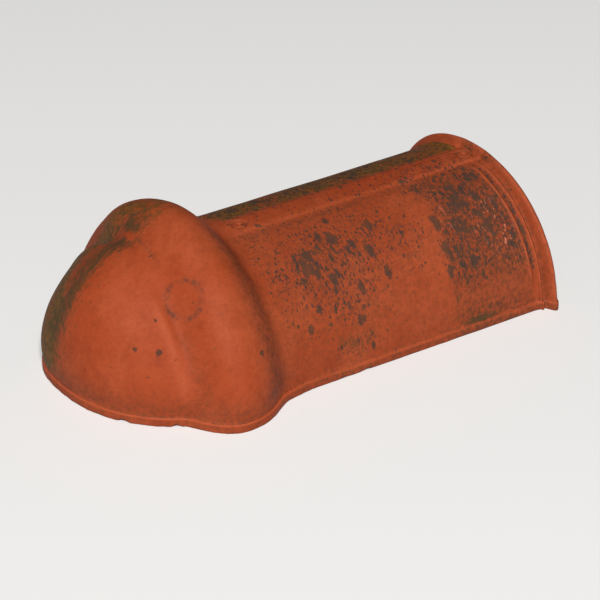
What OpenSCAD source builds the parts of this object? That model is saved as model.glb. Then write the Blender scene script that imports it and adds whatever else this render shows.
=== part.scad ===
// Hip starter roof tile of fired clay: a half-round barrel whose closed end swells into two lobes,
// with a beaded collar at the open end and two unpunched nail dimples on a low band along the crest.
// Millimetres, +Z up. It lies on its base rim, and +X runs from the closed tip to the collar.

/* [Overall] */
// Overall length, from the foremost swelling of the closed end to the foot of the collar's face
tile_length = 492; // [467:1:517]
// Thickness of the clay wall
wall = 13; // [11:0.5:15]

/* [Barrel] */
// Half the width of the barrel over its ledge
barrel_half_width = 118; // [112:1:124]
// Height of the barrel's crest
barrel_height = 123; // [117:1:129]
// Fullness of the barrel's arch: 2 is an ellipse, more is squarer at the shoulders
barrel_fullness = 2.14; // [2:0.02:2.3]

/* [Base rim] */
// Height of the upright rim round the base
rim_height = 9; // [6:0.5:12]
// Width of the ledge over the rim beside the barrel
barrel_ledge = 4; // [3:0.5:6]
// Width of the ledge over the rim round the closed end and the collar's foot
dome_ledge = 1.5; // [1:0.25:3]

/* [Front lobe] */
// Distance from the tip to the middle of the lobe's outline in plan
front_reach = 124.5; // [119:0.5:130]
// Distance from the tip to the top of the lobe's crest line
front_crest_reach = 110; // [105:1:115]
// Half the lobe's width
front_half_width = 125.5; // [121:0.5:130]
// Height of the lobe
front_height = 140; // [136:0.5:144]
// Fullness of the lobe's outline in plan
front_plan_fullness = 2.08; // [1.98:0.02:2.18]
// Fullness of the lobe's crest line
front_crest_fullness = 2.98; // [2.78:0.02:3.18]

/* [Hump] */
// Distance from the tip to the hump's widest station
hump_reach = 108; // [104:1:112]
// Half-length of the hump's outline in plan, towards the tip
hump_nose = 61.5; // [58:0.5:65]
// Half-length of the hump's outline in plan, towards the barrel
hump_tail = 89; // [85:1:93]
// Half-length of the hump's crest line, towards the tip
hump_crest_nose = 62.5; // [59:0.5:66]
// Half-length of the hump's crest line, towards the barrel
hump_crest_tail = 87; // [83:1:91]
// Half the hump's width
hump_half_width = 150.5; // [146:0.5:155]
// Height of the hump
hump_height = 163; // [159:0.5:167]
// Fullness of the hump's outline in plan, towards the tip
hump_nose_fullness = 2.13; // [2.03:0.01:2.23]
// Fullness of the hump's outline in plan, towards the barrel
hump_tail_fullness = 2.01; // [1.91:0.01:2.11]
// Fullness of the hump's crest line, towards the tip
crest_nose_fullness = 2.04; // [1.94:0.01:2.14]
// Fullness of the hump's crest line, towards the barrel
crest_tail_fullness = 1.8; // [1.74:0.01:1.9]

/* [Closed end] */
// Fullness of the closed end's arch
dome_fullness = 1.88; // [1.82:0.01:1.94]
// How far the crest leans back towards the barrel
dome_lean = 11; // [8:0.5:14]
// Distance from the tip over which that lean sets in
lean_reach = 81; // [75:1:87]
// Distance from the tip to where the barrel runs plain
neck_reach = 190; // [186:1:194]
// How far the closed end swells out over its rim
dome_swell = 3.2; // [2.4:0.1:4]
// Height where that swelling is widest
swell_height = 30; // [26:1:34]
// Height where that swelling has died out
swell_top = 88; // [80:1:96]

/* [Valley and neck] */
// Rounding of the valley between the lobes at the base
valley_base_round = 7; // [5:0.5:9]
// Rounding of the valley between the lobes at the crest
valley_crest_round = 6; // [5:0.5:8]
// Rounding of the neck between hump and barrel at the base
neck_base_round = 22; // [18:1:26]
// Rounding of the neck between hump and barrel at the crest
neck_crest_round = 11; // [8:1:14]

/* [Crest band and nail dimples] */
// Half the width of the low band along the crest
band_half_width = 17; // [15:0.5:19]
// Width of the band's soft edge
band_edge = 5.5; // [4:0.5:7]
// Rise of the band over the barrel
band_rise = 1.6; // [1:0.2:2.4]
// Distance from the tip to the first nail dimple, which the band's round end goes about
nail_reach = 196; // [191:0.5:201]
// Distance from the collar's face at the crest back to the second nail dimple
nail_setback = 18; // [16:0.5:20]
// Diameter of the dished ring round a nail dimple
dimple_dish = 18; // [16:0.5:20]
// Diameter of the raised seat inside the dish
dimple_seat = 12; // [11:0.5:13]
// Diameter of the blind hole
dimple_hole = 7; // [6:0.5:8]
// Depth of the blind hole
dimple_depth = 6; // [4:0.5:8]

/* [Collar] */
// Rise of the bead over the barrel's side
collar_rise_side = 14; // [12:0.5:16]
// Rise of the bead over the barrel's crest
collar_rise_top = 9; // [7.5:0.5:11]
// How far the foot of the open end stands out beyond its crest
collar_lean = 6; // [4:0.5:8]
// Length of the collar along the barrel: bead, cove and step
collar_length = 18; // [16:0.5:20]
// Width of the groove between the step and the rib
groove_width = 5; // [4:0.5:6]
// Width of the rib
rib_width = 4; // [3:0.5:5]
// Rise of the rib over the barrel
rib_rise = 2; // [1.5:0.25:2.5]

/* [Hidden] */
$fn = 48;

clay = [0.70, 0.33, 0.19];
// Angles round the arch, closer at the edges of the band
function angle_at(y) = acos(pow(y / barrel_half_width, barrel_fullness / 2));
half_angles = concat([for (i = [0:11]) i * 6.6],
    [for (y = [band_half_width + band_edge, band_half_width, band_half_width - band_edge / 2,
        band_half_width - band_edge, band_half_width / 3]) angle_at(y)]);
angles = concat(half_angles, [90], [for (i = [len(half_angles) - 1:-1:0]) 180 - half_angles[i]]);
inner_angles = [for (i = [0:20]) i * 9];

// Stations of the tip, counted from the front lobe's end, and how far swelling or ledge stands out before it
tip_length = 0.66 * hump_reach;
tip_stations = [for (q = [4, 9, 15, 21, 27, 33, 39, 45, 51, 57, 62, 66.42]) tip_length * (1 - cos(q))];
tip_out = -min([for (u = tip_stations, a = half_angles)
    skin_point(u, a, 0).x - (a == 0 ? dome_ledge * plan_slope(u) / norm([1, plan_slope(u)]) : 0)]);
face_x = tile_length - tip_out;
rib_start = face_x - collar_length - groove_width - rib_width;
nail_places = [nail_reach, face_x - collar_lean - nail_setback];

// Shares of the collar's length back from its face, and of its rise there: bead, cove, then step
collar_flank = [[0, 0.42], [0.05, 0.6], [0.12, 0.78], [0.2, 0.91], [0.28, 0.99], [0.36, 1], [0.44, 0.93],
    [0.52, 0.75], [0.59, 0.5], [0.65, 0.28], [0.71, 0.15], [0.77, 0.12], [0.83, 0.21], [0.885, 0.31],
    [0.94, 0.32], [0.98, 0.2], [1, 0]];
// The same on the band, where there is no step
collar_apex = [[0, 0.42], [0.05, 0.6], [0.12, 0.8], [0.2, 0.95], [0.29, 1], [0.37, 0.9], [0.45, 0.6],
    [0.53, 0.2], [0.6, 0], [1, 0]];

// Smooth step from 0 at a to 1 at b
function ease(v, a, b) = let (u = min(1, max(0, (v - a) / (b - a)))) u * u * (3 - 2 * u);

// Greater of two sizes, with the valley where they cross rounded over k
function blend(a, b, k) = b <= 0 ? a : max(a, b) + pow(max(k - abs(a - b), 0), 2) / (4 * k);

// Lobe of size s about station c: half-length a and fullness m before it, half-length b and fullness n behind
function lobe(u, c, a, b, s, m, n) =
    let (e = u < c ? m : n)
    s * pow(max(0, 1 - pow(abs(u - c) / (u < c ? a : b), e)), 1 / e);

// Half-width at the rim, set in by t from the outside
function plan(u, t) =
    let (reach = front_reach - t)
    blend(
        blend(lobe(u, front_reach, reach, reach, front_half_width - t, front_plan_fullness, 2),
            lobe(u, hump_reach, hump_nose - t, hump_tail - t, hump_half_width - t,
                hump_nose_fullness, hump_tail_fullness),
            valley_base_round),
        u > hump_reach ? barrel_half_width - t : 0, neck_base_round);

// Height of the crest over the rim, set in by t from the outside
function crest(u, t) =
    let (low = rim_height + t, reach = front_crest_reach - t)
    blend(
        blend(lobe(u, front_crest_reach, reach, reach, front_height - low, front_crest_fullness, 2),
            lobe(u, hump_reach, hump_crest_nose - t, hump_crest_tail - t, hump_height - low,
                crest_nose_fullness, crest_tail_fullness),
            valley_crest_round),
        u > hump_reach ? barrel_height - low : 0, neck_crest_round);

// How far a station belongs to the closed end: 1 up to the hump's middle, 0 along the plain barrel
function closed_end(u) = 1 - ease(u, hump_reach, neck_reach);

// Slope of the plan's outline, which is straight along the barrel
function plan_slope(u) = u > nail_reach ? 0 : (plan(u + 0.05, 0) - plan(u - 0.05, 0)) / 0.1;

// Share of the closed end's swelling at height h over the rim
function swell_share(h) =
    let (widest = swell_height - rim_height)
    h < widest ? sin(90 * h / widest) : 1 - ease(h, widest, swell_top - rim_height);

// Point of a plain skin set in by t, at angle a: 0 at the near rim, 90 at the crest, 180 at the far rim
function skin_point(u, a, t) =
    let (power = 2 / (barrel_fullness + (dome_fullness - barrel_fullness) * closed_end(u)),
        across = sign(cos(a)) * pow(abs(cos(a)), power),
        h = crest(u, t) * pow(abs(sin(a)), power),
        slope = plan_slope(u),
        out = dome_swell * swell_share(h) * closed_end(u) / norm([1, slope]),
        back = dome_lean * ease(u, 0, lean_reach) * closed_end(u) * h / (hump_height - rim_height)
            - collar_lean * ease(u, nail_reach, tile_length) * h / (barrel_height - rim_height))
    [u + back - out * slope, -(plan(u, t) + out) * across, rim_height + h];

// Share of the band's rise at a point: the band ends in a half-round about the first nail dimple
function band_share(x, y) =
    let (aside = x > nail_reach ? abs(y) : norm([x - nail_reach, y]))
    1 - ease(aside, band_half_width - band_edge, band_half_width);

// Share of the collar's rise at station u: flank profile beside the band, apex profile on it
function collar_share(u, y) =
    let (back = (face_x - u) / collar_length,
        beside = ease(abs(y), band_half_width, band_half_width + band_edge))
    back > 1 ? 0 : beside * lookup(back, collar_flank) + (1 - beside) * lookup(back, collar_apex);

// Rise of the rib at station u, which fades out at the band and over the base
function rib(u, y, z) =
    let (share = (u - rib_start) / rib_width)
    share <= 0 || share >= 1 ? 0 : rib_rise * sin(180 * share)
        * ease(abs(y), band_half_width, band_half_width + band_edge)
        * ease(z, 2 * rim_height, 4 * rim_height);

// Point of the outside at station u and angle a, with band, rib and collar
function outside(u, a) =
    let (p = skin_point(u, a, 0),
        collar = collar_share(u, p.y) * (collar_rise_side + (collar_rise_top - collar_rise_side) * sin(a)),
        rise = rib(u, p.y, p.z) + max(collar, band_rise * band_share(p.x, p.y)))
    p + rise * [0, -cos(a), sin(a)];

// Width of the ledge at a station
function ledge(u) =
    let (collar = u > hump_reach ? collar_share(u, barrel_half_width) : 0)
    barrel_ledge + (dome_ledge - barrel_ledge) * max(closed_end(u), collar);

// Point of the upright rim on side s at height z, a share of the ledge out from the skin's foot
function rim_point(u, s, share, z) =
    let (foot = outside(u, 0), slope = plan_slope(u), out = share * ledge(u) / norm([1, slope]))
    [foot.x - out * slope, s * (out - foot.y), z];

// Rows of the rim from the base up: share of the ledge, share of the rim's height
rim_rows = [[0.9, 0], [1, 0.2], [1, 0.82], [0.75, 0.95]];

// Count stations from after a to b
function steps(a, b, count) = [for (i = [1:count]) a + (b - a) * i / count];

// Stations along the outside: closed end, valley and hump, neck, barrel, then rib, groove and collar
lobe_start = 0.6 * tip_length;
stations = concat(
    tip_stations,
    steps(lobe_start, hump_reach, 24),
    steps(hump_reach, nail_reach + 2, 18),
    steps(nail_reach + 2, rib_start, 8),
    steps(rib_start, rib_start + rib_width, 4),
    [for (i = [len(collar_flank) - 1:-1:0]) face_x - collar_length * collar_flank[i][0]]);
// Stations of the hollow, which starts one wall inside the tip
inner_stations = [for (u = stations) wall + u * (face_x - wall) / face_x];

// Rows of points, each from the near base over the arch to the far base
function outer_row(u) = concat(
    [for (r = rim_rows) rim_point(u, -1, r[0], r[1] * rim_height)],
    [for (a = angles) outside(u, a)],
    [for (i = [len(rim_rows) - 1:-1:0]) rim_point(u, 1, rim_rows[i][0], rim_rows[i][1] * rim_height)]);
function inner_row(u) =
    let (arch = [for (a = inner_angles) skin_point(u, a, wall)], foot = arch[0])
    concat([[foot.x, foot.y, 0]], arch, [[foot.x, -foot.y, 0]]);

// Faces of a skin of n rows by m points from index b, and of its first row, closed from side to side
function skin(b, n, m) = [for (i = [0:n - 2], j = [0:m - 2], h = [0, 1])
    h == 0 ? [b + i * m + j, b + i * m + j + 1, b + (i + 1) * m + j + 1]
        : [b + i * m + j, b + (i + 1) * m + j + 1, b + (i + 1) * m + j]];
function cap(b, m) =
    let (mid = (m - 1) / 2)
    [for (j = [0:mid - 1]) j == mid - 1 ? [b + j, b + mid + 1, b + mid]
        : [b + j, b + m - 1 - j, b + m - 2 - j, b + j + 1]];
function reversed(faces) = [for (f = faces) [for (i = [len(f) - 1:-1:0]) f[i]]];

// Faces of a flat strip between a long row of indices p and a shorter row q
function strip(p, q) =
    let (f = [for (i = [0:len(p) - 1]) round(i * (len(q) - 1) / (len(p) - 1))])
    [for (i = [0:len(p) - 2], h = [0, 1]) if (h == 0 || f[i + 1] > f[i])
        h == 0 ? [p[i], q[f[i]], p[i + 1]] : [p[i + 1], q[f[i]], q[f[i + 1]]]];

// The fired shell: outside, hollow, flat base strip and flat collar face
module shell() {
    n = len(stations);
    m = len(angles) + 2 * len(rim_rows);
    w = len(inner_angles) + 2;
    b = n * m;
    outer_foot = concat([for (i = [n - 1:-1:0]) i * m], [for (i = [0:n - 1]) i * m + m - 1]);
    inner_foot = concat([for (i = [n - 1:-1:0]) b + i * w], [for (i = [0:n - 1]) b + i * w + w - 1]);
    outer_end = [for (j = [0:m - 1]) (n - 1) * m + j];
    inner_end = [for (j = [0:w - 1]) b + (n - 1) * w + j];
    polyhedron(
        points = concat([for (u = stations) each outer_row(u)], [for (u = inner_stations) each inner_row(u)]),
        faces = concat(skin(0, n, m), cap(0, m), reversed(skin(b, n, w)), reversed(cap(b, w)),
            strip(outer_foot, inner_foot), reversed(strip(outer_end, inner_end))),
        convexity = 6);
}

// Cutter of a nail dimple, from the band's top: dished ring, raised seat and blind hole
module nail_dimple() {
    hole = dimple_hole / 2;
    seat = dimple_seat / 2;
    dish = dimple_dish / 2;
    rotate_extrude()
        polygon([[0, 3], [0, -dimple_depth], [hole - 1, -dimple_depth], [hole, -0.6], [seat - 0.4, -0.6],
            [seat + 0.4, -1.7], [dish - 1.6, -1.5], [dish, 0.2], [dish, 3]]);
}

module hip_starter_tile() {
    color(clay)
        translate([tip_out - tile_length / 2, 0, 0])
            difference() {
                shell();
                for (x = nail_places)
                    translate([x, 0, barrel_height + band_rise])
                        nail_dimple();
            }
}

hip_starter_tile();
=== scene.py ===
import math

import bpy
import numpy as np
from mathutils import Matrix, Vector, noise


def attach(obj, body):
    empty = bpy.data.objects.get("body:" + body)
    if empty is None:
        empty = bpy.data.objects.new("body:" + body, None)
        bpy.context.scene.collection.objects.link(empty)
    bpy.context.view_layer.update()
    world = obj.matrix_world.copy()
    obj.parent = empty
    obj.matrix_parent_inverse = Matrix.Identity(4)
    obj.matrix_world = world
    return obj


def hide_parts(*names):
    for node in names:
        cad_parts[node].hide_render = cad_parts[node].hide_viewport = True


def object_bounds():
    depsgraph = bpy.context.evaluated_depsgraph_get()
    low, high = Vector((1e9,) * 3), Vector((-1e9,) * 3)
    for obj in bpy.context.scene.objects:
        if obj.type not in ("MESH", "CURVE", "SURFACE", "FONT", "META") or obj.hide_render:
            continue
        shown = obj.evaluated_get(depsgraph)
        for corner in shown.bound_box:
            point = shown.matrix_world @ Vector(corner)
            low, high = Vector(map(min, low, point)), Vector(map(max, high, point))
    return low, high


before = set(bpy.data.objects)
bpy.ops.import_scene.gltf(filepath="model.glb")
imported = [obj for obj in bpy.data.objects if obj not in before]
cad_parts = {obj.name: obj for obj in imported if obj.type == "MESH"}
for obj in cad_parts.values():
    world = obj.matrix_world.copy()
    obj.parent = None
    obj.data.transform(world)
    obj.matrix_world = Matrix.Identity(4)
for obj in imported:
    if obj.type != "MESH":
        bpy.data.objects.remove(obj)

cad_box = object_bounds()
MM = 0.001

# Places and sizes are in millimetres. A turn is in degrees from the crest, plus on the side the photo shows
TILE_END = cad_box[1][0] / MM
RIM_TOP = 9
ARRIS_TOP = 9.5
BEAD_DEPTH = 8
NAIL_PLACES = (-47.6, 222)
NAIL_REACH = 12.5
BAND_FOOT = 115
ARC_RADIUS = 120
# Stretches of x: where the front lobe gives way to the flank, and where the hump runs into the barrel
FLANK = (-150, -105)
NECK = (-85, -60)

# Body: a line inside the tile that tells its outside from its underside, and the mesh's cells and arrises
CORE_START = -130
CORE_END = 240
CORE_HEIGHT = 10
MERGED = 0.02
LONG_EDGE = 4.5
FLAT_TURN = math.radians(40)
QUAD_SKEW = math.radians(150)
ARRIS_TURN = math.radians(42)
SHADED_TURN = math.radians(38)
ARRIS_HOLD = 0.95

# Pressed form of the closed end: the valley, its reach to the front and back and what the far side adds,
# the ridge before it, the fuller tip, and how the valley is softened
VALLEY_X = -167
VALLEY_DEPTH = 5
VALLEY_EXTRA = 1.2
VALLEY_FRONT = 9
VALLEY_BACK = 13
VALLEY_FAR = 15
RIDGE_X = VALLEY_X - 15
RIDGE_HEIGHT = 2.2
RIDGE_REACH = 8
TIP_FULLNESS = 3.2
TIP_OUT = (-0.82, 0.57)
SOFT_REACH = 13
SOFT_ROUNDS = 30

# Damage. Rim chips: x, y, width, depth. Arris chips: x, y, z, width, depth
TORN_HEIGHT = 3.5
TORN_LIFT = 0.5
TORN_SWING = 0.7
COARSE_TEAR = 9
FINE_TEAR = 3.5
RIM_CHIPS = ((-225, -72, 6, 3), (-189, -108, 5, 2.8), (17, -121, 5, 1.5))
ARRIS_CHIPS = ((-26, -122, 8, 5, 2.2), (238, -128, 30, 6, 1.2), (238, -110, 75, 5, 1), (238, -96, 93, 4, 0.9))
CHIP_GRAIN = 3
SCAR = (-161, 16.5, 137)
SCAR_SPREAD = (4, 9)
SCAR_HEIGHT = 1.4
SCAR_REACH = 30
WAVE_LENGTH = 45
WAVE_DEPTH = 0.6
WAVE_FOOT = 12

# Collar, counted square to its leaning face: rib, groove from start to end, step and bead
COLLAR_LEAN = 6
COLLAR_RISE = 114
LEAN_START = -48
RIB = 221
GROOVE = (222.3, 224, 227, 228.5)
STEP = 229.6
BEAD = 240.5

# Marks in soft ovals: share, place along the barrel, turn, and how far they reach along and down
LICHEN_PATCHES = ((0.62, 12, 36, 50, 17), (0.28, -18, 34, 22, 11), (0.25, 58, 30, 22, 12),
                  (0.36, 4, 57, 38, 10), (0.26, -55, 38, 22, 20), (0.26, 98, 34, 30, 16),
                  (0.25, 12, 76, 26, 5), (0.5, 168, 3, 50, 8), (0.2, 40, 6, 150, 12))
DENSE_MIDDLE = ((0.35, 178, 34, 34, 16),)
FAR_LICHEN = ((0.8, 90, -20, 190, 16),)
GRIME_PATCHES = ((0.4, 10, 42, 60, 26), (1.2, 159, 81.5, 30, 2.6))
SOOT_PATCHES = ((0.22, -150, -9, 6, 5), (0.12, -142, -4, 20, 12), (0.5, 233, -3, 8, 5), (0.52, 8, 75, 34, 7))
FLANK_SOOT = ((0.5, 131, 70, 6, 9),)
LEDGE_SOOT = ((1.25, 156, 84.6, 24, 1.8),)
SCRATCHED_PATCHES = ((1, 196, 47, 20, 16), (0.6, 140, 30, 14, 10))

# Marks along lines. Their places, and those of the single crusts below, were picked in the photo and
# set on the tile through its camera, or set one by one beside such a pick
SCAR_CREST = ((-161, 10, 139), (-160, 17, 138), (-161, 23, 136))
SOOT_PATH = ((-158, 22, 140), (-170, 12, 135), (-184, 14, 130), (-196, 14, 125),
             (-209, 12, 119), (-222, 11, 107), (-232, 12, 89), (-239, 20, 62))
CREASE = ((-159, 2.4, 141.1), (-160.4, -13.7, 139), (-160.7, -26.2, 136.1), (-161.5, -39.5, 132.2))

# Single crusts
# Drops: x, y, z, radius. Ovals: place along the barrel, turn, half-width. Rings: x, y, z, radius, share
LONE_DROPS = ((-210, -71.3, 72.3, 2.1), (-193, -87, 71, 3), (-196, -66.6, 96, 1.2), (-187, -72.3, 96, 1.2),
              (-111, -135, 67, 2.4), (135, -14.6, 124.1, 3), (-34, -12, 124.4, 2), (7, -10.9, 124.6, 1.5))
OVAL_CRUSTS = ((-21, 34, 3.4), (-26, 31, 2.4), (-16, 37.5, 2.8), (-24, 38.5, 2), (-29, 35.5, 1.8),
               (21, 26, 3.8), (10, 23.5, 2.8), (52, 37, 3.6), (66, 25, 3.2), (1, 45, 3.4), (27, 52, 3),
               (60, 49, 3), (-24, 55, 2.6), (-39, 63, 2.2), (16, 66, 2.2), (21, 65.5, 2), (28, 79.5, 2),
               (-12, 40, 2.6), (38, 32, 2.6), (30, 16, 2.4), (134, 35, 3.6), (131, 47, 3.4), (128, 58, 2.6))
DEAD_RINGS = ((-156.5, -76, 109.9, 19, 0.65), (93, -77.2, 98.4, 17, 0.4))
OVAL_DRAW = 0.55
CRUST_BEND = 3

# Lichen drops: size of their cell, the lichen's share from which they grow, and their reach in the cell
DROP_SIZES = ((17, 0.46, 0.34), (7.8, 0.2, 0.3), (4, 0.06, 0.29), (2.4, 0, 0.27))
DROP_DRAW = 0.5
DROP_BEND = 1.4

# Patterns: size, detail and roughness of the noises that the clay and its dirt share, then the other sizes
NOISES = {"slow": (70, 3, 0.55), "blotch": (14, 4, 0.6), "mottle": (4.5, 3, 0.65), "grain": (1.8, 2, 0.6),
          "rag": (6, 5, 0.7)}
STREAK_WIDTH = 1.6
STREAK_DRAW = 0.09
CLUSTER_SIZE = 17
WARP_SIZE = 2.8
SCRATCH_WIDTH = 2.8
SCRATCH_DRAW = 0.4
GRAIN_HEIGHT = 0.12
CRUST_HEIGHT = 0.25
BLOTCH_HEIGHT = 0.4

# Node settings and the sockets of a colour mix
SMOOTH = {"interpolation_type": "SMOOTHSTEP"}
COLOURS = {"data_type": "RGBA"}
CLAMPED = {"data_type": "RGBA", "clamp_factor": True}
PLUS = {"operation": "ADD"}
MINUS = {"operation": "SUBTRACT"}
TIMES = {"operation": "MULTIPLY"}
TIMES_PLUS = {"operation": "MULTIPLY_ADD"}
GREATER = {"operation": "MAXIMUM"}
SHARE, UNDER, OVER, MIXED = 0, 6, 7, 2


def colour(code):
    """Linear RGBA of an sRGB hex code."""
    parts = [int(code[i:i + 2], 16) / 255 for i in (1, 3, 5)]
    return [c / 12.92 if c <= 0.04045 else ((c + 0.055) / 1.055) ** 2.4 for c in parts] + [1.0]


def ease(value, start, end):
    """Smooth step from 0 at start to 1 at end, on arrays too."""
    share = np.clip((value - start) / (end - start), 0, 1)
    return share * share * (3 - 2 * share)


def between(value, start, full, fade, end):
    """Rises from 0 at start to 1 at full, and falls from 1 at fade to 0 at end."""
    return ease(value, start, full) * (1 - ease(value, fade, end))


def hill(value, middle, spread):
    """Soft hill: 1 at the middle, fading out over the spread."""
    return np.exp(-((value - middle) / spread) ** 2)


def points_of(mesh, what="co"):
    """A mesh's points, or their normals, as rows of three."""
    rows = np.empty(len(mesh.vertices) * 3)
    if what == "co":
        mesh.vertices.foreach_get("co", rows)
    else:
        mesh.vertex_normals.foreach_get("vector", rows)
    return rows.reshape(-1, 3)


def edge_ends(mesh):
    """The two points of each edge, by number."""
    ends = np.empty(len(mesh.edges) * 2, int)
    mesh.edges.foreach_get("vertices", ends)
    return ends.reshape(-1, 2)


def outward(points, normals):
    """How far each normal looks out of the tile: 1 on the outside, -1 on the underside."""
    away = points * (0, 1, 1)
    away[:, 0] = points[:, 0] - np.clip(points[:, 0], CORE_START * MM, CORE_END * MM)
    away[:, 2] -= CORE_HEIGHT * MM
    return (away * normals).sum(axis=1) / np.maximum(np.linalg.norm(away, axis=1), 1e-6)


def select_edges(mesh, wanted):
    """Leaves only the wanted edges selected, for the next operator in edit mode."""
    bpy.ops.object.mode_set(mode="EDIT")
    bpy.ops.mesh.select_mode(type="EDGE")
    bpy.ops.mesh.select_all(action="DESELECT")
    bpy.ops.object.mode_set(mode="OBJECT")
    mesh.edges.foreach_set("select", wanted)
    bpy.ops.object.mode_set(mode="EDIT")


def fired_body():
    """The clay body: the solid's own surface, merged, rounded between its arrises, divided finely outside."""
    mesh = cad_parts["hip_starter_tile"].data.copy()
    mesh.name = "fired_clay_tile"
    mesh.materials.clear()
    tile = bpy.data.objects.new("fired_clay_tile", mesh)
    bpy.context.scene.collection.objects.link(tile)
    bpy.ops.object.select_all(action="DESELECT")
    bpy.context.view_layer.objects.active = tile
    tile.select_set(True)

    bpy.ops.object.mode_set(mode="EDIT")
    bpy.ops.mesh.select_mode(type="VERT")
    bpy.ops.mesh.select_all(action="SELECT")
    bpy.ops.mesh.remove_doubles(threshold=MERGED * MM)
    bpy.ops.mesh.tris_convert_to_quads(face_threshold=FLAT_TURN, shape_threshold=QUAD_SKEW)

    # Arrises of the base, the rim and the open end stay sharp, and so do both nail dimples
    bpy.ops.mesh.select_mode(type="EDGE")
    bpy.ops.mesh.select_all(action="DESELECT")
    bpy.ops.mesh.edges_select_sharp(sharpness=ARRIS_TURN)
    bpy.ops.object.mode_set(mode="OBJECT")
    x, y, z = points_of(mesh)[edge_ends(mesh)].mean(axis=1).T / MM
    sharp = np.empty(len(mesh.edges), bool)
    mesh.edges.foreach_get("select", sharp)
    sharp &= (z < ARRIS_TOP) | (x > TILE_END - BEAD_DEPTH)
    for nail_x in NAIL_PLACES:
        sharp |= (np.hypot(x - nail_x, y) < NAIL_REACH) & (z > BAND_FOOT)
    select_edges(mesh, sharp)
    bpy.ops.transform.edge_crease(value=ARRIS_HOLD)
    bpy.ops.object.mode_set(mode="OBJECT")

    rounding = tile.modifiers.new("rounding", "SUBSURF")
    rounding.levels = rounding.render_levels = 1
    bpy.ops.object.modifier_apply(modifier=rounding.name)

    # Long edges of the outside are halved, three times over
    for _ in range(3):
        places = points_of(mesh)
        facing = outward(places, points_of(mesh, "normal"))
        ends = edge_ends(mesh)
        coarse = np.linalg.norm(places[ends[:, 0]] - places[ends[:, 1]], axis=1) > LONG_EDGE * MM
        select_edges(mesh, coarse & (facing[ends].mean(axis=1) > 0.1))
        bpy.ops.mesh.subdivide(number_cuts=1, smoothness=0)
        bpy.ops.object.mode_set(mode="OBJECT")
    return tile


def pressed_form(tile):
    """The closed end as pressed: a soft valley, the hump's nose set back, the tip fuller at its far side."""
    x, y, z = points_of(tile.data).T / MM
    soft = hill(x, VALLEY_X + 1 + 2 * ease(z, 115, 138), SOFT_REACH) * between(z, 14, 40, 118, 136)
    valley = tile.vertex_groups.new(name="valley")
    for i in np.flatnonzero(soft > 0.02):
        valley.add([int(i)], float(soft[i]), "REPLACE")
    softened = tile.modifiers.new("softened", "SMOOTH")
    softened.vertex_group = valley.name
    softened.factor = 0.5
    softened.iterations = SOFT_ROUNDS
    bpy.ops.object.modifier_apply(modifier=softened.name)
    tile.vertex_groups.clear()

    # The valley is pressed in after it is softened, further back on the far side, with a ridge before it
    points = points_of(tile.data)
    x, y, z = points.T / MM
    reach = np.where(x < VALLEY_X, VALLEY_FRONT, VALLEY_BACK + VALLEY_FAR * ease(y, 0, 40))
    dent = hill(x, VALLEY_X, reach) * (VALLEY_DEPTH * ease(z, 9, 30) + VALLEY_EXTRA * ease(z, 34, 70))
    dent *= 1 + 0.5 * ease(y, 20, 80)
    dent -= RIDGE_HEIGHT * hill(x, RIDGE_X, RIDGE_REACH) * ease(z, 10, 30)
    dent *= 1 - np.where(y > 0, ease(z, 112, 142), ease(z, 92, 130))
    fuller = TIP_FULLNESS * hill(y, 50, 32) * ease(-x, 190, 228) * (1 - ease(z, 60, 105))
    radius = np.maximum(np.hypot(y, z), 1)
    move = [TIP_OUT[0] * fuller, TIP_OUT[1] * fuller - dent * y / radius, -dent * z / radius]
    tile.data.vertices.foreach_set("co", (points + np.stack(move, axis=1) * MM).ravel())
    tile.data.update()


def wear(mesh):
    """Hand marks and damage: a ragged trimmed base, chips in the rim and the bead, the scar in the valley."""
    places, normals = points_of(mesh), points_of(mesh, "normal")
    facing = outward(places, normals)
    moved = places.copy()
    rim_chips = np.array(RIM_CHIPS) * MM
    arris_chips = np.array(ARRIS_CHIPS) * MM
    for i, (place, face) in enumerate(zip(places, facing)):
        x, y, z = place
        if z < TORN_HEIGHT * MM and face > 0.05:
            # the wire-cut lower edge of the rim, torn a little all along
            torn = noise.noise(Vector((x, y, 0)) / (COARSE_TEAR * MM))
            torn += 0.6 * noise.noise(Vector((x, y, 7)) / (FINE_TEAR * MM))
            lift = (TORN_LIFT + TORN_SWING * torn) * MM
            for chip_x, chip_y, width, depth in rim_chips:
                near = math.hypot(x - chip_x, y - chip_y) / width
                lift += depth * max(0, 1 - near * near)
            moved[i, 2] = z + max(0, lift) * (1 - z / (TORN_HEIGHT * MM))
        for chip_x, chip_y, chip_z, width, depth in arris_chips:
            near = math.dist(place, (chip_x, chip_y, chip_z)) / width
            if near < 1:
                rough = 0.75 + 0.5 * noise.noise(Vector(place) / (CHIP_GRAIN * MM))
                moved[i] -= normals[i] * depth * (1 - near * near) * rough

    # Scar where the lobes meet on the crest: a crescent of clay left standing
    from_scar = moved / MM - SCAR
    along, across = (from_scar[:, :2] / SCAR_SPREAD).T
    hook = np.exp(-(along - 0.35 * across ** 2) ** 2 - across ** 2)
    beside = (np.abs(from_scar).max(axis=1) < SCAR_REACH) & (facing > 0.3)
    moved += normals * (SCAR_HEIGHT * MM * hook * beside)[:, None]

    # Slow waves of a pressed clay body, always inwards
    waves = np.array([noise.noise(Vector(p) / (WAVE_LENGTH * MM)) for p in moved]) * 0.5 + 0.5
    skin = (places[:, 2] > WAVE_FOOT * MM) & (facing > 0.2)
    moved -= normals * (WAVE_DEPTH * MM * waves * skin)[:, None]
    mesh.vertices.foreach_set("co", moved.ravel())
    mesh.update()


def patches(x, turn, rows):
    """Soft ovals added up: each row has the share, the place, the turn, and the reach along and down."""
    return sum(share * hill(x, at, along) * hill(turn, at_turn, down)
               for share, at, at_turn, along, down in rows)


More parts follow.
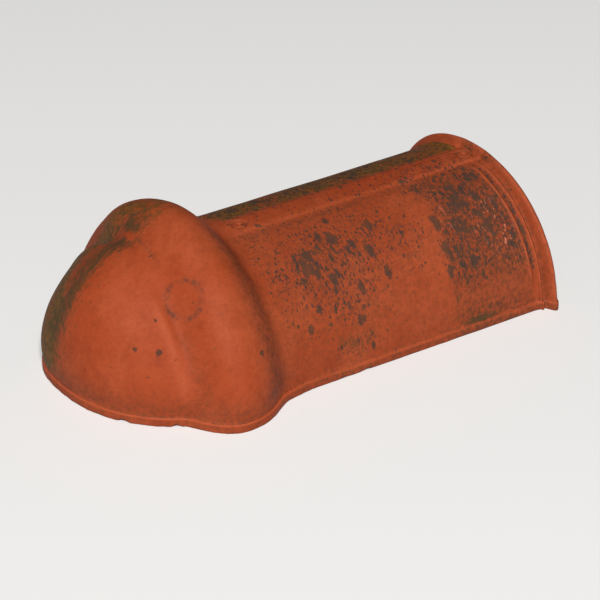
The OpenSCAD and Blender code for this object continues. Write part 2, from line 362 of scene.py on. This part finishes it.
def near_path(points, path, width):
    """1 on a line through the given places, fading out over the width."""
    best = np.full(len(points), np.inf)
    for start, end in zip(np.array(path[:-1], float), np.array(path[1:], float)):
        line = end - start
        share = np.clip(((points - start) @ line) / (line @ line), 0, 1)
        best = np.minimum(best, np.linalg.norm(points - start - share[:, None] * line, axis=1))
    return hill(best, 0, width)


def lichen_share(x, turn, square, barrel, dense, groove):
    """Lichen: loose over the barrel, dense by the collar and in its groove, and along the far slope."""
    lichen = patches(x, turn, LICHEN_PATCHES) * barrel
    lichen = np.maximum(lichen, (0.72 + patches(x, turn, DENSE_MIDDLE)) * dense)
    lichen = np.maximum(lichen, 0.75 * groove)
    far_side = patches(x, turn, FAR_LICHEN) * barrel * (1 - ease(square, 222, 228))
    return np.maximum(lichen, far_side) + 0.05 * barrel


def grime_and_shade_share(places, turn, square, barrel, dense, groove, edge, beside_valley):
    """Grime and painted shade: grime under the lichen and in the collar, painted shade round the nails, by
    the neck, in the valley, low on the dome and at the rim.
    """
    x, y, z = places.T
    # Grime under the dense lichen and in patches, and a darker film over the barrel below the crest band
    grime_and_shade = 0.75 * dense + 0.3 * barrel * ease(turn, 7, 10) + patches(x, turn, GRIME_PATCHES)
    grime_and_shade += 0.5 * ease(x, edge - 6, edge + 14) * (1 - ease(square, 219, 223)) * ease(turn, 45, 66)
    # Grime in the collar's groove; painted shade in the cove before the bead
    grime_and_shade += 0.9 * groove + 0.5 * between(square, 229, 231, 233, 237) * ease(turn, 10, 20)
    grime_and_shade += 0.35 * ease(z, 120, 130) * ease(x, 202, 222)
    # Painted shade just below the crest band's edge, and painted shade on the rim's upright face under the
    # ledge
    grime_and_shade += 0.45 * hill(turn, 10, 2.6) * barrel + 0.55 * (1 - ease(z, 6.6, 7.6))
    # Painted shade in both nail dishes
    for nail_x in NAIL_PLACES:
        grime_and_shade += 0.9 * between(np.hypot(x - nail_x, y), 4.5, 6.5, 7.5, 9.5) * ease(z, 110, 118)
    # Painted shade along the crease on the crest and in the valley
    grime_and_shade += 0.9 * near_path(places, CREASE, 1.6) + 0.3 * hill(x, VALLEY_X - 1, 6) * beside_valley
    # Painted shadow on the hump's back flank by the neck
    grime_and_shade += 0.85 * hill(x, -95, 15) * ease(turn, 4, 16) * ease(z, 12, 30)
    # Painted shade low on the dome, darker towards the rim
    grime_and_shade += 0.65 * (1 - ease(z, 10, 46)) * ease(z, 8.8, 9.4) * (1 - barrel)
    # Painted shade in the corner above the ledge
    return grime_and_shade + 0.4 * hill(z, RIM_TOP + 0.6, 0.7)


def olive_and_shade_share(places, turn, barrel):
    """Olive film of algae and painted shade: on the far slope of the barrel, on the far side of both lobes,
    at the tip and on the hump's top, which turn away from the light.
    """
    x, y, z = places.T
    olive = ease(-turn, 6, 10) * (1 - 0.75 * ease(-turn, 22, 66)) * between(x, -88, -30, 223, 229)
    olive += 0.65 * ease(y, 12, 60) * (1 - ease(x, -150, -95)) * (1 - 0.7 * ease(y, 70, 130))
    # Painted shade at the tip's edge, mixed with olive dirt
    olive += 0.6 * ease(-x, 206, 240) * ease(y, -30, 34) * ease(z, 6, 24) * (1 - 0.5 * ease(y, 60, 105))
    olive += 0.62 * ease(-x, 150, 182) * ease(y, 8, 40) * (1 - 0.7 * ease(y, 60, 105))
    # Painted shade on the hump's top, which tilts away
    return olive + 0.55 * ease(z, 138, 160) * ease(y, -40, 25) * (1 - barrel)


def soot_share(places, turn, above_rim):
    """Soot: a run down the front lobe from the scar, a few patches, and a smear on the ledge."""
    x, y, z = places.T
    wide = 0.6 * near_path(places, SOOT_PATH, 36) * ease(y, -34, 18)
    soot = np.maximum(0.9 * near_path(places, SOOT_PATH, 17), wide) + patches(x, turn, SOOT_PATCHES)
    soot = soot * above_rim + patches(x, turn, FLANK_SOOT)
    return soot + patches(x, turn, LEDGE_SOOT) * ease(z, 8.2, RIM_TOP)


def wear_and_highlight_share(x, z, turn, square, barrel, beside_valley):
    """Pale edges, partly wear and partly painted highlight: rim, rib, step, bead, the ridge before the
    valley, and the edge of the crest band.
    """
    # Pale ledge edge: wear and painted highlight
    wear_and_highlight = 0.7 * between(z, 7.5, 8.4, 8.8, 9.4)
    # Pale rib, step and bead crests: wear and painted highlight
    wear_and_highlight += (0.8 * hill(square, RIB, 0.9) + hill(square, STEP, 1.1)) * ease(turn, 9, 14) * ease(z, 12, 26)
    wear_and_highlight += 0.6 * hill(square, BEAD, 2.2) * ease(z, 10, 20)
    # Painted highlight on the ridge before the valley
    wear_and_highlight += 0.5 * hill(x, RIDGE_X + 1, 5) * beside_valley
    # Painted highlight on the edge of the crest band
    return wear_and_highlight + 0.25 * hill(turn, 6.6, 0.9) * barrel * (1 - ease(square, 222, 226))


def weathering_and_painted_light(mesh):
    """Where the weather left its marks, and where shade and highlights are painted, kept on the body's points
    as soft shares for the clay's material.
    """
    places, normals = points_of(mesh) / MM, points_of(mesh, "normal")
    x, y, z = places.T
    turn = np.degrees(np.arctan2(-y, z))
    outside = ease(outward(places * MM, normals), 0.0, 0.3)
    above_rim = ease(z, RIM_TOP, 16)
    barrel = ease(x, *NECK)
    beside_valley = between(z, 14, 40, 96, 120) * ease(-y, 40, 60)

    # The collar leans, so its rib and groove are counted square to its face
    square = x + COLLAR_LEAN * ease(x, LEAN_START, TILE_END) * (z - RIM_TOP) / COLLAR_RISE
    edge = 149 - 20 * ease(turn, 12, 52) - 22 * (1 - ease(turn, 10, 26))
    dense = between(turn, 6, 16, 56, 72) * ease(x, edge - 8, edge + 8) * (1 - ease(square, 217, RIB))
    groove = between(square, *GROOVE) * between(turn, 8, 20, 60, 78)
    bare_scar = 1 - 0.9 * near_path(places, SCAR_CREST, 4)
    shares = {
        "wear_and_highlight": wear_and_highlight_share(x, z, turn, square, barrel, beside_valley),
        "scratched": patches(x, turn, SCRATCHED_PATCHES) * dense,
        "lichen": lichen_share(x, turn, square, barrel, dense, groove) * above_rim,
        "grime_and_shade": grime_and_shade_share(places, turn, square, barrel, dense, groove, edge, beside_valley),
        "olive_dirt_and_shade": olive_and_shade_share(places, turn, barrel) * bare_scar * above_rim,
        "soot": soot_share(places, turn, above_rim) * bare_scar}
    for name, share in shares.items():
        kept = mesh.attributes.new(name, "FLOAT", "POINT")
        kept.data.foreach_set("value", np.clip(share * outside, 0, 1.2))
    kept = mesh.attributes.new("outside", "FLOAT", "POINT")
    kept.data.foreach_set("value", outside)

    # Streaks run down the flank, and down the front lobe from its crest
    flank = ease(x, *FLANK)
    arc = np.radians(turn) * ARC_RADIUS
    flow = np.stack([flank * x + (1 - flank) * arc, flank * arc - (1 - flank) * x, 0.2 * z], axis=1) * MM
    kept = mesh.attributes.new("flow", "FLOAT_VECTOR", "POINT")
    kept.data.foreach_set("vector", flow.ravel())


def add(tree, kind, settings=None, inputs=None, out=0):
    """Adds a shader node with its settings, fills or links its inputs, and returns one of its outputs."""
    made = tree.nodes.new("ShaderNode" + kind)
    for name, value in (settings or {}).items():
        setattr(made, name, value)
    for name, value in (inputs or {}).items():
        if isinstance(value, bpy.types.NodeSocket):
            tree.links.new(value, made.inputs[name])
        else:
            made.inputs[name].default_value = value
    return made.outputs[out]


def clay_noises(tree, place, flow):
    """The patterns that the clay and its dirt share, each at its real size."""
    noises = {}
    for name, (size, detail, roughness) in NOISES.items():
        noises[name] = add(tree, "TexNoise", inputs={
            "Vector": place, "Scale": 1 / (size * MM), "Detail": detail, "Roughness": roughness})
    noises["streak"] = add(tree, "TexNoise", inputs={
        "Vector": add(tree, "Mapping", inputs={"Vector": flow, "Scale": (1, STREAK_DRAW, 1)}),
        "Scale": 1 / (STREAK_WIDTH * MM), "Detail": 3, "Roughness": 0.65})
    return noises


def fired_clay(tree, noises, wear_and_highlight):
    """Fired body: slow patches, blotches, mottle and sandy grain, with paler clay on worn edges and as
    painted highlight.
    """
    body = add(tree, "Mix", COLOURS, {
        SHARE: add(tree, "MapRange", SMOOTH, {"Value": noises["slow"], "From Min": 0.38, "From Max": 0.64}),
        UNDER: colour("#953d1d"), OVER: colour("#9c4525")}, out=MIXED)
    for name, start, end, most, code in (("blotch", 0.45, 0.75, 0.5, "#7c3016"),
                                         ("mottle", 0.46, 0.72, 0.28, "#732c14"),
                                         ("grain", 0.56, 0.72, 0.2, "#ab5d3f")):
        body = add(tree, "Mix", COLOURS, {
            SHARE: add(tree, "MapRange", {}, {
                "Value": noises[name], "From Min": start, "From Max": end, "To Max": most}),
            UNDER: body, OVER: colour(code)}, out=MIXED)
    # Pale clay for wear and painted highlight, uneven along the edges
    uneven_pale = add(tree, "MapRange", {}, {
        "Value": noises["blotch"], "From Min": 0.3, "From Max": 0.6, "To Min": 0.2, "To Max": 0.7})
    return add(tree, "Mix", CLAMPED, {
        SHARE: add(tree, "Math", TIMES, {0: wear_and_highlight, 1: uneven_pale}),
        UNDER: body, OVER: colour("#b85a38")}, out=MIXED)


def dirt_and_shade_films(tree, body, marks, noises):
    """Three films over the clay: brown grime and painted shade that thins in streaks, mottled olive algae
    with painted shade on far slopes, and soot.
    """
    thin = add(tree, "MapRange", {}, {
        "Value": noises["streak"], "From Min": 0.3, "From Max": 0.62, "To Min": 0.25, "To Max": 0.8})
    spotted = add(tree, "MapRange", {}, {
        "Value": noises["mottle"], "From Min": 0.4, "From Max": 0.65, "To Min": -0.25, "To Max": 0.5})
    film = add(tree, "Math", TIMES, {0: marks["grime_and_shade"], 1: add(tree, "Math", PLUS, {0: thin, 1: spotted})})
    body = add(tree, "Mix", CLAMPED, {
        SHARE: add(tree, "Math", TIMES, {0: film, 1: 0.8}), UNDER: body, OVER: colour("#5e3420")}, out=MIXED)

    # Olive algae and painted shade: ragged at its edge, in slow patches, from yellow-brown to black-green
    ragged = add(tree, "Math", PLUS, {
        0: add(tree, "MapRange", {}, {
            "Value": noises["rag"], "From Min": 0.3, "From Max": 0.7, "To Min": -0.35, "To Max": 0.35}),
        1: add(tree, "MapRange", {}, {
            "Value": noises["streak"], "From Min": 0.3, "From Max": 0.7, "To Min": -0.25, "To Max": 0.25})})
    patchy = add(tree, "MapRange", {}, {
        "Value": noises["slow"], "From Min": 0.36, "From Max": 0.6, "To Min": 0.62, "To Max": 1.2})
    film = add(tree, "MapRange", SMOOTH, {
        "Value": add(tree, "Math", TIMES_PLUS, {0: marks["olive_dirt_and_shade"], 1: patchy, 2: ragged}),
        "From Min": 0.2, "From Max": 0.95, "To Max": 0.9})
    olive_tones = add(tree, "Mix", COLOURS, {
        SHARE: add(tree, "MapRange", {}, {"Value": noises["mottle"], "From Min": 0.42, "From Max": 0.6}),
        UNDER: colour("#6b4a1d"), OVER: colour("#443718")}, out=MIXED)
    body = add(tree, "Mix", COLOURS, {SHARE: film, UNDER: body, OVER: olive_tones}, out=MIXED)

    # Soot: feathered along the slope
    feather = add(tree, "MapRange", {}, {
        "Value": add(tree, "Math", PLUS, {0: noises["streak"], 1: noises["rag"]}),
        "From Min": 0.7, "From Max": 1.3, "To Min": -0.5, "To Max": 0.4})
    film = add(tree, "MapRange", SMOOTH, {
        "Value": add(tree, "Math", PLUS, {0: marks["soot"], 1: feather}),
        "From Min": 0.18, "From Max": 0.95, "To Max": 0.9})
    return add(tree, "Mix", COLOURS, {SHARE: film, UNDER: body, OVER: colour("#443721")}, out=MIXED)


def lichen_drops(tree, lichen, flow, warp, noises):
    """Lichen: a ragged crust where it is thick, drops of four sizes in loose clusters, and thin runs."""
    cluster = add(tree, "TexNoise", inputs={
        "Vector": flow, "Scale": 1 / (CLUSTER_SIZE * MM), "Detail": 3, "Roughness": 0.6})
    thick = add(tree, "Math", TIMES, {
        0: lichen,
        1: add(tree, "MapRange", {}, {
            "Value": cluster, "From Min": 0.32, "From Max": 0.66, "To Min": 0.45, "To Max": 1.4})})
    ragged = add(tree, "MapRange", {}, {
        "Value": noises["rag"], "From Min": 0.3, "From Max": 0.7, "To Min": -0.5, "To Max": 0.5})
    crust = add(tree, "MapRange", SMOOTH, {
        "Value": add(tree, "Math", PLUS, {0: thick, 1: ragged}),
        "From Min": 0.95, "From Max": 1.3, "To Max": 0.9})

    # Drops are drawn down the slope, smaller and rarer where the lichen thins out
    bent = add(tree, "VectorMath", TIMES_PLUS, {0: warp, 1: (DROP_BEND * MM, DROP_BEND * MM, 0), 2: flow})
    uneven = add(tree, "MapRange", {}, {
        "Value": noises["rag"], "From Min": 0.3, "From Max": 0.7, "To Min": -0.07, "To Max": 0.07})
    for cell, least, reach in DROP_SIZES:
        drops = add(tree, "TexVoronoi", {"voronoi_dimensions": "2D"}, {
            "Vector": add(tree, "Mapping", inputs={"Vector": bent, "Scale": (1, DROP_DRAW, 1)}),
            "Scale": 1 / (cell * MM)}, out="Color")
        chance = add(tree, "SeparateColor", inputs={"Color": drops}, out="Red")
        grown = add(tree, "Math", MINUS, {
            0: add(tree, "MapRange", {}, {"Value": thick, "From Min": least, "From Max": least + 0.6}),
            1: chance})
        radius = add(tree, "Math", TIMES, {
            0: add(tree, "MapRange", SMOOTH, {"Value": grown, "From Max": 0.12}),
            1: add(tree, "MapRange", {}, {
                "Value": chance.node.outputs["Green"], "To Min": 0.45 * reach, "To Max": reach})})
        inside = add(tree, "Math", MINUS, {0: radius, 1: drops.node.outputs["Distance"]})
        spot = add(tree, "MapRange", SMOOTH, {
            "Value": add(tree, "Math", PLUS, {0: inside, 1: uneven}),
            "From Min": -0.04, "From Max": 0.05, "To Max": 0.94})
        crust = add(tree, "Math", GREATER, {0: crust, 1: spot})
    runs = add(tree, "Math", TIMES, {
        0: add(tree, "MapRange", {}, {"Value": lichen, "From Min": 0.15, "From Max": 0.9, "To Max": 0.75}),
        1: add(tree, "MapRange", SMOOTH, {"Value": noises["streak"], "From Min": 0.54, "From Max": 0.68})})
    return add(tree, "Math", GREATER, {0: crust, 1: runs})


def single_crust(tree, where, middle, draw, radius, warp, torn):
    """One crust with a torn edge about its middle, drawn out along the axes that draw shortens."""
    bent = add(tree, "VectorMath", TIMES_PLUS, {0: warp, 1: [CRUST_BEND * MM] * 3, 2: where})
    away = add(tree, "VectorMath", MINUS, {0: bent, 1: [(c + 0.5 * CRUST_BEND) * MM for c in middle]})
    away = add(tree, "VectorMath", TIMES, {0: away, 1: draw})
    far = add(tree, "VectorMath", {"operation": "LENGTH"}, {0: away}, out="Value")
    return add(tree, "MapRange", SMOOTH, {
        "Value": add(tree, "Math", TIMES_PLUS, {0: torn, 1: radius * MM, 2: far}),
        "From Min": 0.9 * radius * MM, "From Max": 1.5 * radius * MM, "To Min": 0.9, "To Max": 0})


def dead_ring(tree, place, middle, radius, share, rag):
    """A ring where a round lichen died off in its middle, broken by the rag."""
    far = add(tree, "VectorMath", {"operation": "DISTANCE"}, {
        0: place, 1: [c * MM for c in middle]}, out="Value")
    hoop = add(tree, "Math", TIMES, {
        0: add(tree, "MapRange", SMOOTH, {
            "Value": far, "From Min": 0.72 * radius * MM, "From Max": 0.96 * radius * MM}),
        1: add(tree, "MapRange", SMOOTH, {
            "Value": far, "From Min": radius * MM, "From Max": 1.2 * radius * MM,
            "To Min": share, "To Max": 0})})
    return add(tree, "Math", TIMES, {
        0: hoop,
        1: add(tree, "MapRange", {}, {"Value": rag, "From Min": 0.46, "From Max": 0.6, "To Min": 0.15})})


def lichen_crust(tree, place, flow, marks, noises):
    """All lichen: drops and runs, single crusts that stand apart, and dead rings, on the outside only."""
    warp = add(tree, "TexNoise", inputs={
        "Vector": place, "Scale": 1 / (WARP_SIZE * MM), "Detail": 2}, out="Color")
    crust = lichen_drops(tree, marks["lichen"], flow, warp, noises)
    torn = add(tree, "MapRange", {}, {
        "Value": noises["rag"], "From Min": 0.32, "From Max": 0.68, "To Min": -0.7, "To Max": 0.7})
    for x, y, z, radius in LONE_DROPS:
        spot = single_crust(tree, place, (x, y, z), (1, 1, 1), radius, warp, torn)
        crust = add(tree, "Math", GREATER, {0: crust, 1: spot})
    on_barrel = add(tree, "MapRange", {}, {"Value": marks["lichen"], "From Max": 0.04})
    for x, turn, radius in OVAL_CRUSTS:
        middle = (x, math.radians(turn) * ARC_RADIUS, 0)
        spot = single_crust(tree, flow, middle, (1, OVAL_DRAW, 0), radius, warp, torn)
        spot = add(tree, "Math", TIMES, {0: spot, 1: on_barrel})
        crust = add(tree, "Math", GREATER, {0: crust, 1: spot})
    for x, y, z, radius, share in DEAD_RINGS:
        hoop = dead_ring(tree, place, (x, y, z), radius, share, noises["rag"])
        crust = add(tree, "Math", GREATER, {0: crust, 1: hoop})
    return add(tree, "Math", TIMES, {0: crust, 1: marks["outside"]})


def weathered_terracotta():
    """Unglazed iron-rich clay, pressed and fired: a matt orange-red body with a sandy grain and darker
    blotches of firing. Outdoors it took crusts of near-black lichen in drops drawn down the slope, an olive
    film of algae where it stays damp, and sooty runs on the closed end. Its grime and olive film also carry
    painted shade, and its pale edges painted highlights."""
    material = bpy.data.materials.new("weathered terracotta")
    material.use_nodes = True
    tree = material.node_tree
    surface = tree.nodes["Principled BSDF"]
    surface.inputs["Metallic"].default_value = 0
    surface.inputs["IOR"].default_value = 1.5
    surface.inputs["Specular IOR Level"].default_value = 0.12

    place = add(tree, "TexCoord", out="Object")
    flow = add(tree, "Attribute", {"attribute_name": "flow"}, out="Vector")
    marks = {name: add(tree, "Attribute", {"attribute_name": name}, out="Fac")
             for name in ("lichen", "grime_and_shade", "olive_dirt_and_shade", "soot", "scratched", "wear_and_highlight", "outside")}
    noises = clay_noises(tree, place, flow)
    body = fired_clay(tree, noises, marks["wear_and_highlight"])
    body = dirt_and_shade_films(tree, body, marks, noises)

    crust = lichen_crust(tree, place, flow, marks, noises)
    tint = add(tree, "Mix", COLOURS, {
        SHARE: add(tree, "MapRange", {}, {"Value": noises["blotch"], "From Min": 0.4, "From Max": 0.62}),
        UNDER: colour("#4b3426"), OVER: colour("#3a2f29")}, out=MIXED)
    cover = add(tree, "Math", TIMES, {
        0: crust,
        1: add(tree, "MapRange", {}, {
            "Value": noises["rag"], "From Min": 0.3, "From Max": 0.55, "To Min": 0.8, "To Max": 1})})
    body = add(tree, "Mix", COLOURS, {SHARE: cover, UNDER: body, OVER: tint}, out=MIXED)

    # Pale scratches through the dense crust by the collar
    scratch = add(tree, "TexNoise", inputs={
        "Vector": add(tree, "Mapping", inputs={
            "Vector": flow, "Scale": (1, SCRATCH_DRAW, 1), "Location": (3, 1, 0)}),
        "Scale": 1 / (SCRATCH_WIDTH * MM), "Detail": 3, "Roughness": 0.6})
    bare = add(tree, "Math", TIMES, {
        0: add(tree, "MapRange", {}, {"Value": scratch, "From Min": 0.6, "From Max": 0.66, "To Max": 0.9}),
        1: marks["scratched"]})
    body = add(tree, "Mix", COLOURS, {SHARE: bare, UNDER: body, OVER: colour("#cf7458")}, out=MIXED)
    tree.links.new(body, surface.inputs["Base Color"])

    rough = add(tree, "MapRange", {}, {"Value": crust, "To Min": 0.66, "To Max": 0.9})
    tree.links.new(rough, surface.inputs["Roughness"])

    # Sandy skin, and lichen that stands a few tenths of a millimetre proud
    height = add(tree, "Math", TIMES, {0: noises["grain"], 1: GRAIN_HEIGHT * MM})
    height = add(tree, "Math", TIMES_PLUS, {0: crust, 1: CRUST_HEIGHT * MM, 2: height})
    height = add(tree, "Math", TIMES_PLUS, {0: noises["blotch"], 1: BLOTCH_HEIGHT * MM, 2: height})
    bump = add(tree, "Bump", inputs={"Strength": 0.8, "Distance": 1.0, "Height": height})
    tree.links.new(bump, surface.inputs["Normal"])
    return material


def direction(azimuth, elevation):
    """The way to a place at the azimuth and elevation (degrees), seen from the tile."""
    a, e = math.radians(azimuth), math.radians(elevation)
    return Vector((math.sin(a) * math.cos(e), -math.cos(a) * math.cos(e), math.sin(e)))


def set_up(thing, target, way, distance):
    """Puts a camera or a lamp at the distance from its target, looking back at it."""
    thing.location = target + distance * way
    thing.rotation_mode = "QUATERNION"
    thing.rotation_quaternion = (-way).to_track_quat("-Z", "Y")
    bpy.context.scene.collection.objects.link(thing)


tile = fired_body()
pressed_form(tile)
wear(tile.data)
bpy.ops.object.shade_smooth_by_angle(angle=SHADED_TURN)
weathering_and_painted_light(tile.data)
tile.data.materials.append(weathered_terracotta())
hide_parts("hip_starter_tile")
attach(tile, "root")

# Camera at the photograph's angle, in metres and degrees
camera = bpy.data.objects.new("camera", bpy.data.cameras.new("camera"))
camera.data.lens = 176.7
camera.data.sensor_width = 36
set_up(camera, target=Vector((0.0236, 0, 0.0195)), way=direction(azimuth=-34.67, elevation=28.7),
       distance=2.887)
bpy.context.scene.camera = camera

# Pale paper floor
bpy.ops.object.select_all(action="DESELECT")
bpy.ops.mesh.primitive_plane_add(size=12)
floor = bpy.context.active_object
floor.name = "floor"
paper = bpy.data.materials.new("white studio paper")
paper.use_nodes = True
paper.node_tree.nodes["Principled BSDF"].inputs["Base Color"].default_value = colour("#e8e7e5")
paper.node_tree.nodes["Principled BSDF"].inputs["Roughness"].default_value = 0.95
floor.data.materials.append(paper)

# Soft studio light: a softbox over the camera and a faint even room, in metres and degrees
world = bpy.data.worlds.new("studio")
bpy.context.scene.world = world
world.use_nodes = True
world.node_tree.nodes["Background"].inputs["Color"].default_value = (1, 1, 1, 1)
world.node_tree.nodes["Background"].inputs["Strength"].default_value = 0.07
lamp = bpy.data.objects.new("softbox", bpy.data.lights.new("softbox", "AREA"))
lamp.data.size = 3.2
lamp.data.energy = 1930
set_up(lamp, target=Vector((0, 0, 0)), way=direction(azimuth=-33.8, elevation=44), distance=12)
bpy.context.scene.view_settings.view_transform = "Standard"
